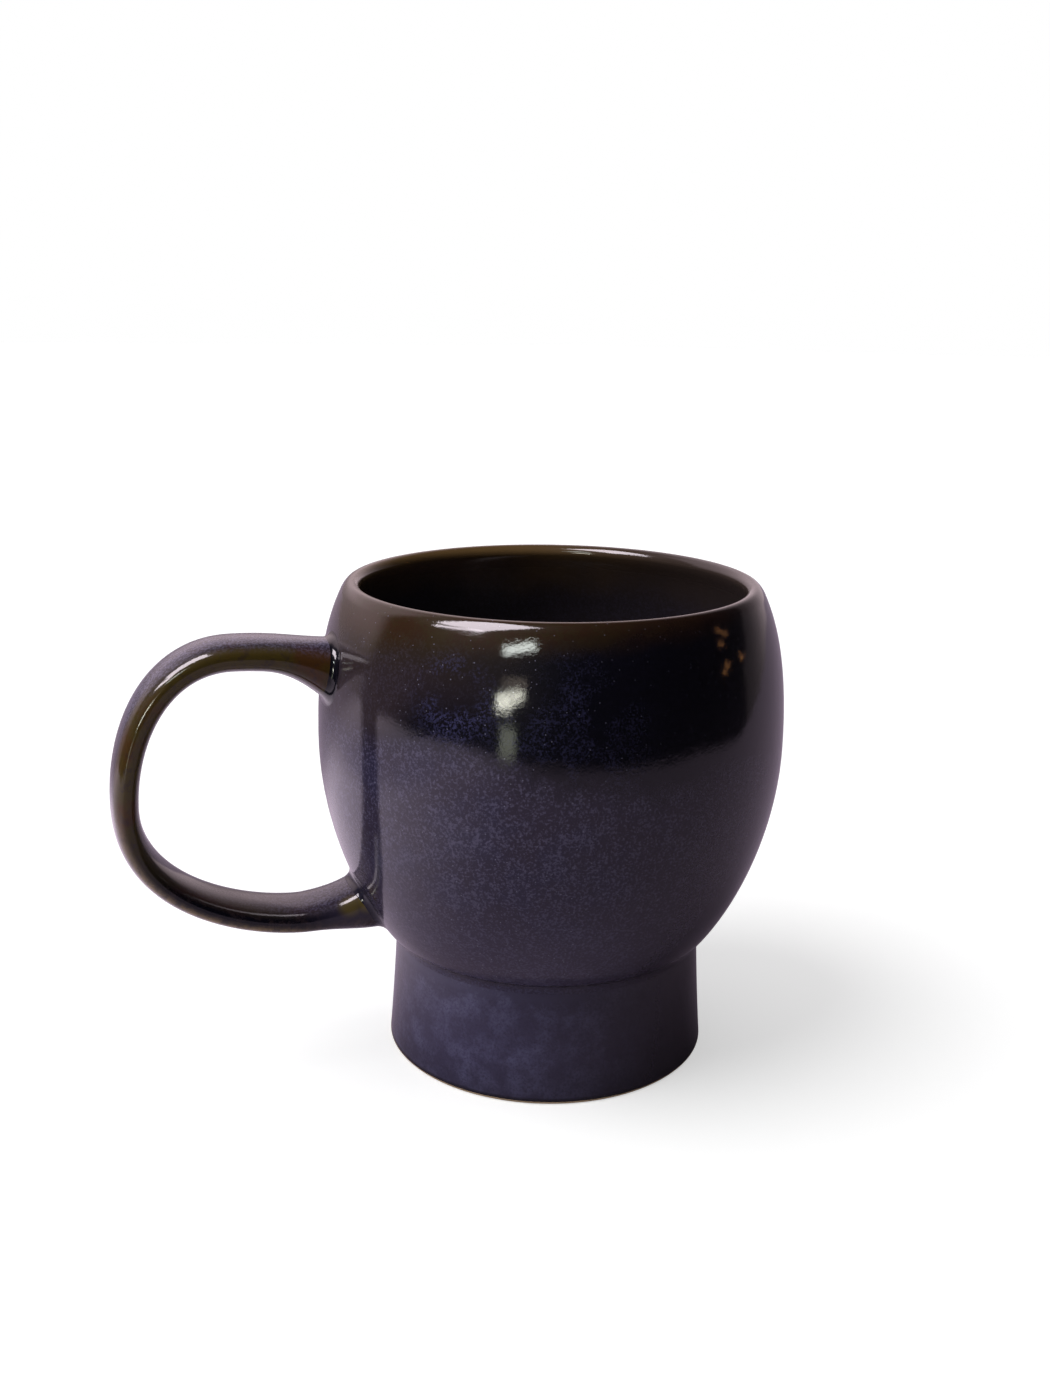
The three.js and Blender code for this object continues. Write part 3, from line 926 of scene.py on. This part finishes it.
def bowl_glaze():
    """Speckled violet on the belly, nearly black above it, and rusty and olive at the lip."""
    material, shader = new_material("bowl_glaze")
    place = place_on_mug(shader)
    height = height_of(shader, place)
    side = side_of(shader, place)
    cloud = shader.noise(place, *CLOUDS)
    grain = shader.noise(place, *GRAINS)
    drift = shader.noise(place, *DRIFTS)
    wave = shader.noise(place, *WAVES)

    lifted = shader.total(height, shader.sway(drift, DRIFT_REACH), shader.sway(wave, WAVE_REACH))
    above_violet = shader.total(
        lifted,
        shader.product(side, VIOLET_TILT),
        shader.fade(shader.gap(place, SAG_SPOT), *SAG_EDGE, end=VIOLET_SAG),
        shader.fade(side, *VIOLET_DROOP_SIDE, end=VIOLET_DROOP),
    )
    above_rust = shader.total(
        height,
        shader.sway(drift, RUST_DRIFT_REACH),
        shader.sway(wave, RUST_WAVE_REACH),
        shader.product(side, RUST_TILT),
    )
    above_mauve = shader.total(height, shader.fade(side, *MAUVE_DROOP_SIDE, end=MAUVE_DROOP))
    violet = shader.fade(above_violet, *VIOLET_EDGE)
    # Mauve only towards the key light: partly the glaze's own colour, partly painted light
    mauve = shader.product(shader.fade(above_mauve, *MAUVE_EDGE), shader.fade(side, *MAUVE_SIDE))

    dark = dark_colour(shader, place, side, cloud, grain, mauve, shader.fade(lifted, *MOSS_EDGE))
    colour = shader.mix(violet, dark, violet_colour(shader, height, side, cloud))
    speckled = speckles(shader, place, height, side, cloud, grain, violet, mauve)
    colour = shader.mix(speckled, colour, LAVENDER)
    rim = shader.mix(shader.fade(shader.total(wave, grain), *OLIVE_WAVES), RUST, OLIVE)
    # The rim is darker on the side away from the key light: partly its own colour, partly painted shade
    rim = shader.mix(shader.fade(side, *RIM_SIDE), SHADED_RUST, rim)
    colour = shader.mix(shader.fade(above_rust, *RUST_EDGE), colour, rim)
    # More sparks towards the key light: partly the glaze's own, partly painted light
    sparks = shader.product(spark_mask(shader, place), shader.fade(side, *SPARK_SIDE, start=0.05, end=0.5))
    colour = shader.mix(sparks, colour, SPARK)
    inner = inner_colour(shader, height, side, cloud, grain)
    colour = shader.mix(shader.fade(shader.attribute("inside"), 0.35, 1.0), colour, inner)
    finish_glaze(shader, colour, place, grain)
    return material


def well_glaze():
    """The glaze inside the bowl, which has a softer gloss and no clear skin."""
    material, shader = new_material("well_glaze")
    place = place_on_mug(shader)
    cloud = shader.noise(place, *CLOUDS)
    grain = shader.noise(place, *GRAINS)
    finish(shader, {
        "Base Color": inner_colour(shader, height_of(shader, place), side_of(shader, place), cloud, grain),
        "Roughness": WELL_HAZE,
        "IOR": GLAZE_IOR,
        "Normal": skin_normal(shader, place, grain, GLAZE_BUMP),
    })
    return material


def foot_glaze():
    """Deep violet with pale blotches, darker low down, and darker on the side away from the key light, partly
    as painted shade.
    """
    material, shader = new_material("foot_glaze")
    place = place_on_mug(shader)
    height = height_of(shader, place)
    grain = shader.noise(place, *GRAINS)
    blotch = shader.noise(place, *BLOTCHES)
    pale = shader.product(
        shader.fade(blotch, *FOOT_BLOTCHES, start=0.18, end=0.85),
        shader.fade(grain, *FOOT_GRAINS, start=0.35),
    )
    lifted = shader.total(height, shader.sway(blotch, FOOT_BAND_REACH))
    band = shader.fade(lifted, *FOOT_BAND_EDGE, end=0.35)
    colour = shader.mix(shader.highest(pale, band), FOOT_DEEP, FOOT_PALE)
    # Darker away from the key light: partly the glaze's own colour, partly painted shade
    colour = shader.mix(shader.fade(side_of(shader, place), *LIT_FOOT_SIDE), SHADE, colour)
    black = shader.highest(
        shader.fade(height, *FOOT_RIM_EDGE),
        shader.fade(height, *FOOT_BLACK_EDGE, end=0.32),
    )
    colour = shader.mix(black, colour, NAVY)
    finish_glaze(shader, colour, place, grain, FOOT_HAZE, FOOT_BUMP)
    return material


def handle_glaze():
    """Violet and brown on the strap's broad faces, olive and rust elsewhere, and gold at its lower root."""
    material, shader = new_material("handle_glaze")
    place = place_on_mug(shader)
    height = height_of(shader, place)
    cloud = shader.noise(place, *CLOUDS)
    grain = shader.noise(place, *GRAINS)
    streak = shader.noise(place, *STREAKS)
    low = shader.fade(height, *STRAP_LOW_EDGE)
    from_root = shader.gap(place, GOLD_ROOT)
    from_streak = shader.gap(place, GOLD_STREAK)

    violet = shader.mix(shader.fade(cloud, *STRAP_CLOUDS), PLUM, INDIGO)
    violet = shader.mix(shader.fade(grain, *STRAP_GRAINS, end=0.6), violet, LAVENDER)
    brown = shader.product(
        shader.fade(height, *STRAP_BROWN_EDGE, end=0.9),
        shader.fade(from_root, *BROWN_GAP, start=0.25),
    )
    violet = shader.mix(brown, violet, VIOLET_BROWN)
    olive = shader.mix(shader.fade(cloud, *STRAP_CLOUDS), HANDLE_RUST, HANDLE_OLIVE)
    flank = shader.mix(low, olive, NAVY)
    flank = shader.mix(shader.fade(streak, *FLANK_STREAKS, end=0.5), flank, VIOLET_BROWN)
    flank = shader.mix(shader.fade(from_root, *DUSK_GAP, end=0.6), flank, DUSK)
    colour = shader.mix(shader.attribute("flank"), violet, flank)

    corner = shader.product(
        shader.attribute("corner"),
        shader.fade(low, 0.0, 1.0, start=0.85, end=0.3),
        shader.fade(height, *STRAP_CROWN_EDGE, start=0.35),
        shader.fade(from_root, *CORNER_GAP, start=0.3),
    )
    colour = shader.mix(corner, colour, olive)
    under = shader.product(
        shader.attribute("outer_edge"),
        low,
        shader.fade(streak, *EDGE_STREAKS, start=0.3),
        shader.fade(from_root, *EDGE_GAP, start=0.15),
    )
    colour = shader.mix(under, colour, HANDLE_EDGE)
    gold = shader.highest(
        shader.fade(from_root, *GOLD_ROOT_EDGE),
        shader.fade(from_streak, *GOLD_STREAK_EDGE, end=0.8),
    )
    colour = shader.mix(shader.product(gold, 0.9), colour, GOLD)
    finish_glaze(shader, colour, place, grain)
    return material


def slip_glaze():
    """The glaze on the beads of slip: like the foot's low down, nearly black with painted shade in the crease
    under the bowl, darker away from the key light partly as painted shade, and nearly black at the upper
    root.
    """
    material, shader = new_material("slip_glaze")
    place = place_on_mug(shader)
    height = height_of(shader, place)
    grain = shader.noise(place, *GRAINS)
    colour = shader.mix(shader.fade(shader.noise(place, *CLOUDS), *SLIP_CLOUDS), DUSK, FOOT_DEEP)
    colour = shader.mix(shader.fade(grain, *SLIP_GRAINS, end=0.4), colour, FOOT_PALE)
    # Nearly black at the top of the foot's bead, in the crease under the bowl: painted shade
    colour = shader.mix(shader.fade(height, *CREASE_SHADE_EDGE, end=0.7), colour, NIGHT)
    # Darker away from the key light: partly the glaze's own colour, partly painted shade
    colour = shader.mix(shader.fade(side_of(shader, place), *SLIP_SIDE), SHADE, colour)
    colour = shader.mix(shader.fade(height, *UPPER_SLIP_EDGE), colour, NAVY)
    finish_glaze(shader, colour, place, grain)
    return material


def bare_clay():
    """The unglazed rim that the mug stands on."""
    material, shader = new_material("bare_clay")
    grain = shader.noise(place_on_mug(shader), *CLAY_GRAINS)
    finish(shader, {
        "Base Color": shader.mix(grain, CLAY_DARK, CLAY_PALE),
        "Roughness": CLAY_HAZE,
        "Normal": shader.node("ShaderNodeBump", {"Height": grain, "Distance": CLAY_BUMP}).outputs[0],
    })
    return material


# Stage: camera, floor, room and lamps

# The table's edge, in metres to the right of the mug's axis and to its front
TABLE = (
    (-0.68, -0.30), (-0.60, -0.05), (-0.56, 0.14), (-0.45, 0.23), (-0.40, 0.32), (-0.36, 0.395),
    (-0.09, 0.395), (0.03, 0.373), (0.131, 0.330), (0.246, 0.253), (0.350, 0.129), (0.36, -0.03),
    (0.60, -0.30), (3.0, -3.0), (0.0, -4.0), (-3.0, -3.0),
)
WHITE = (1, 1, 1, 1)
FLOOR_WHITE = 0.63
FLOOR_GLOW = 0.54
FLOOR_MIRRORED = (0.33, 0.26, 0.34, 1)
FLOOR_TINT = (1.0, 0.86, 1.0, 1)
BACKDROP_TINT = (1.0, 0.80, 0.86, 1)
DARK_ROOM = (0.006, 0.006, 0.008, 1)
WALL_FILL = (1.0, 0.97, 1.0, 1)
ROOM_FILL = (0.03, 0.03, 0.03, 1)
CEILING_FILL = (0.5, 0.5, 0.5, 1)

# Azimuths in radians between which the room's walls fade in, and where the left one gets brighter by a factor
LEFT_WALL = (math.radians(-93), math.radians(-106))
RIGHT_WALL_START = (math.radians(105), math.radians(109))
RIGHT_WALL = (math.radians(107), math.radians(162))
BRIGHTER_LEFT = (math.radians(-20), math.radians(20))
LEFT_WALL_FACTOR = 2.5

# The key light: a sun that shapes the colours and the shadow
KEY_AZIMUTH, KEY_ELEVATION = -67, 54
KEY_STRENGTH = 2.36
KEY_ANGLE = math.radians(42)

# Lamps that only reflections show. Each has a name, an azimuth and an elevation in degrees, a width and a
# height in metres, the radiance of its face, a colour, and a turn about its own middle in degrees
SOFTBOX_COLOUR = (1.0, 0.9, 0.98)
GLINT_SIZE = (0.012, 0.015)
GLINT_COLOUR = (1.0, 0.45, 0.16)
GLINTS = ((95, 17.5), (98, 15), (93, 13), (105, 4), (93.5, 5), (91, 3.5))
LAMPS = (
    ("softbox", -52, 57, (0.50, 0.60), 15, SOFTBOX_COLOUR, -12),
    ("softbox_edge", -54, 36, (0.44, 0.12), 15, SOFTBOX_COLOUR, 8),
    ("window_top", -16.5, 29.6, (0.25, 0.070), 18, (0.93, 1.0, 0.95), 18),
    ("window_middle", -18.5, 6.5, (0.21, 0.085), 15, (1.0, 1.0, 0.86), 14),
    ("window_pane", -21, 3.0, (0.12, 0.06), 10, (1.0, 1.0, 0.86), 4),
    ("window_shade", -17, 12.5, (0.18, 0.07), 1.3, (1.0, 0.85, 0.7), 0),
    *[("glint", azimuth, elevation, GLINT_SIZE, 14, GLINT_COLOUR, 0) for azimuth, elevation in GLINTS],
    ("window_low", -19, -7, (0.12, 0.14), 2.2, (0.95, 1.0, 0.8), 0),
)
LAMP_DISTANCE = 1.0
LAMP_AIM_HEIGHT = 0.9 * MUG_HEIGHT * MM


def make_camera():
    """The camera, at the photograph's viewing angle."""
    data = bpy.data.cameras.new("camera")
    data.lens = CAMERA_LENS
    data.sensor_width = CAMERA_SENSOR
    data.clip_start = CAMERA_NEAREST
    camera = add_object("camera", data)
    forward = -towards(0, math.degrees(CAMERA_PITCH))
    forward = Matrix.Rotation(-CAMERA_YAW, 3, "Z") @ forward
    right = forward.cross(Vector((0, 0, 1))).normalized()
    up = right.cross(forward)
    rolled_right = right * math.cos(CAMERA_ROLL) + up * math.sin(CAMERA_ROLL)
    rolled_up = up * math.cos(CAMERA_ROLL) - right * math.sin(CAMERA_ROLL)
    turn = Matrix((rolled_right, rolled_up, -forward)).transposed()
    place = Vector((AXIS_X, 0, CAMERA_HEIGHT)) + towards(0, 0) * CAMERA_DISTANCE
    camera.matrix_world = Matrix.Translation(place) @ turn.to_4x4()
    bpy.context.scene.camera = camera


def along(shader, place, azimuth):
    """How far a place is from the middle towards an azimuth, in metres."""
    return shader.vector("DOT_PRODUCT", place, tuple(towards(azimuth, 0)))


def floor_glow(shader):
    """How bright reflections show the floor: pale at the left, near the mug and far from it, in metres."""
    place = shader.node("ShaderNodeTexCoord").outputs["Object"]
    leftward = along(shader, place, -90)
    forward = along(shader, place, 0)
    near = shader.product(
        shader.fade(leftward, 0.0, 0.095, end=0.62),
        shader.fade(leftward, 0.24, 0.15),
        shader.fade(forward, 0.20, 0.02),
        shader.fade(forward, -0.16, -0.08),
    )
    far = shader.total(
        shader.fade(leftward, 0.03, 0.20, end=0.46),
        shader.fade(leftward, 0.20, 0.55, end=0.40),
    )
    return shader.total(near, shader.product(far, shader.fade(forward, -0.20, -0.08, start=0.1)))


def floor_material():
    """White to the camera with the mug's shadow, and darker in reflections."""
    material, shader = new_material("floor")
    lit = shader.node("ShaderNodeBsdfDiffuse", {"Color": (FLOOR_WHITE, FLOOR_WHITE, FLOOR_WHITE, 1)})
    glow = shader.node("ShaderNodeEmission", {"Color": WHITE, "Strength": FLOOR_GLOW})
    seen = shader.node("ShaderNodeAddShader", {0: lit.outputs[0], 1: glow.outputs[0]})
    dim = shader.node("ShaderNodeBsdfDiffuse", {"Color": FLOOR_MIRRORED})
    far_glow = shader.node("ShaderNodeEmission", {"Color": FLOOR_TINT, "Strength": floor_glow(shader)})
    mirrored = shader.node("ShaderNodeAddShader", {0: dim.outputs[0], 1: far_glow.outputs[0]})
    surface = lit
    rays = shader.node("ShaderNodeLightPath")
    for ray, other in (("Is Camera Ray", seen), ("Is Glossy Ray", mirrored)):
        surface = shader.node("ShaderNodeMixShader", {
            0: rays.outputs[ray], 1: surface.outputs[0], 2: other.outputs[0],
        })
    shader.node("ShaderNodeOutputMaterial", {"Surface": surface.outputs[0]})
    return material


def make_floor():
    """A white table top that ends a little in front of the mug."""
    corners = []
    for right, front in TABLE:
        spot = towards(90, 0) * right + towards(0, 0) * front
        corners.append((spot.x + AXIS_X, spot.y, 0))
    mesh = bpy.data.meshes.new("floor")
    mesh.from_pydata(corners, [], [tuple(range(len(corners)))])
    mesh.materials.append(floor_material())
    floor = add_object("floor", mesh)


def make_room():
    """White to the camera. Reflections show pale walls to the left and behind, and a dark room in front."""
    world = bpy.data.worlds.new("room")
    bpy.context.scene.world = world
    world.use_nodes = True
    shader = Shader(world.node_tree)
    direction = shader.node("ShaderNodeTexCoord").outputs["Generated"]
    turned = shader.node(
        "ShaderNodeVectorRotate",
        {"Vector": direction, "Angle": VIEW_TURN},
        rotation_type="Z_AXIS",
    )
    rightward, away, up = shader.node("ShaderNodeSeparateXYZ", {0: turned.outputs[0]}).outputs
    azimuth = shader.math("ARCTAN2", rightward, shader.product(away, -1))
    left = shader.product(shader.fade(azimuth, *LEFT_WALL), shader.fade(up, 0.0, 0.3, start=0.36))
    bent = shader.math("SUBTRACT", azimuth, shader.highest(up, 0.0))
    right = shader.total(
        shader.fade(bent, *RIGHT_WALL_START, end=0.12),
        shader.fade(bent, *RIGHT_WALL, end=0.68),
    )
    walls = shader.product(shader.highest(left, right), shader.fade(up, 0.95, 0.65))
    mirrored = shader.mix(walls, DARK_ROOM, BACKDROP_TINT)
    lit_walls = shader.product(walls, shader.fade(azimuth, *BRIGHTER_LEFT, start=LEFT_WALL_FACTOR))
    fill = shader.mix(lit_walls, ROOM_FILL, WALL_FILL)
    fill = shader.mix(shader.fade(up, 0.75, 0.9), fill, CEILING_FILL)
    rays = shader.node("ShaderNodeLightPath")
    colour = shader.mix(rays.outputs["Is Glossy Ray"], fill, mirrored)
    colour = shader.mix(rays.outputs["Is Camera Ray"], colour, WHITE)
    background = shader.node("ShaderNodeBackground", {"Color": colour, "Strength": 1.0})
    shader.node("ShaderNodeOutputWorld", {"Surface": background.outputs[0]})


def link_lamp(name, data, turn):
    """A lamp in the scene that the camera doesn't show."""
    lamp = add_object(name, data)
    lamp.rotation_mode = "QUATERNION"
    lamp.rotation_quaternion = turn
    lamp.visible_camera = False
    return lamp


def make_key():
    """A wide, even key light from the upper left."""
    data = bpy.data.lights.new("key", "SUN")
    data.energy = KEY_STRENGTH
    data.angle = KEY_ANGLE
    lamp = link_lamp("key", data, towards(KEY_AZIMUTH, KEY_ELEVATION).to_track_quat("Z", "Y"))
    lamp.visible_glossy = False


def make_lamp(name, azimuth, elevation, size, radiance, colour, turn):
    """A rectangular lamp that faces the mug and that only reflections show."""
    data = bpy.data.lights.new(name, "AREA")
    data.shape = "RECTANGLE"
    data.size, data.size_y = size
    data.energy = radiance * math.pi * size[0] * size[1]
    data.color = colour
    back = towards(azimuth, elevation)
    facing = back.to_track_quat("Z", "Y")
    lamp = link_lamp(name, data, facing @ Quaternion((0, 0, 1), math.radians(turn)))
    lamp.location = Vector((AXIS_X, 0, LAMP_AIM_HEIGHT)) + back * LAMP_DISTANCE
    lamp.visible_diffuse = False


def dress(piece, material, chosen=None):
    """Gives a piece a material, on the chosen faces or on all."""
    piece.data.materials.append(material)
    if chosen is None:
        return
    for face in piece.data.polygons:
        if chosen(face):
            face.material_index = len(piece.data.materials) - 1


make_camera()
make_floor()
make_room()
make_key()
for lamp in LAMPS:
    make_lamp(*lamp)

BOWL_GLAZE = bowl_glaze()
WELL_GLAZE = well_glaze()
FOOT_GLAZE = foot_glaze()
HANDLE_GLAZE = handle_glaze()
SLIP_GLAZE = slip_glaze()
BARE_CLAY = bare_clay()

bowl = make_bowl()
inside = np.empty(len(bowl.data.vertices), dtype=np.float32)
bowl.data.attributes["inside"].data.foreach_get("value", inside)
well_top = (MUG_HEIGHT - SHARP_GLOSS_DEPTH) * MM
dress(bowl, BOWL_GLAZE)
dress(
    bowl,
    WELL_GLAZE,
    lambda face: face.center.z < well_top and all(inside[i] > WELL_INSIDE for i in face.vertices),
)
foot_ring = make_foot_ring()
dress(foot_ring, FOOT_GLAZE)
dress(foot_ring, BARE_CLAY, lambda face: face.center.z < BARE_CLAY_HEIGHT * MM)
dress(make_foot_crease(), SLIP_GLAZE)
dress(make_handle(), HANDLE_GLAZE)
dress(make_handle_slip("upper_root_slip", "upper_handle_slip_joint", UPPER_LEAVING, 1), SLIP_GLAZE)
dress(make_handle_slip("lower_root_slip", "lower_handle_slip_joint", LOWER_LEAVING, -1), SLIP_GLAZE)

bpy.context.scene.view_settings.view_transform = "Standard"
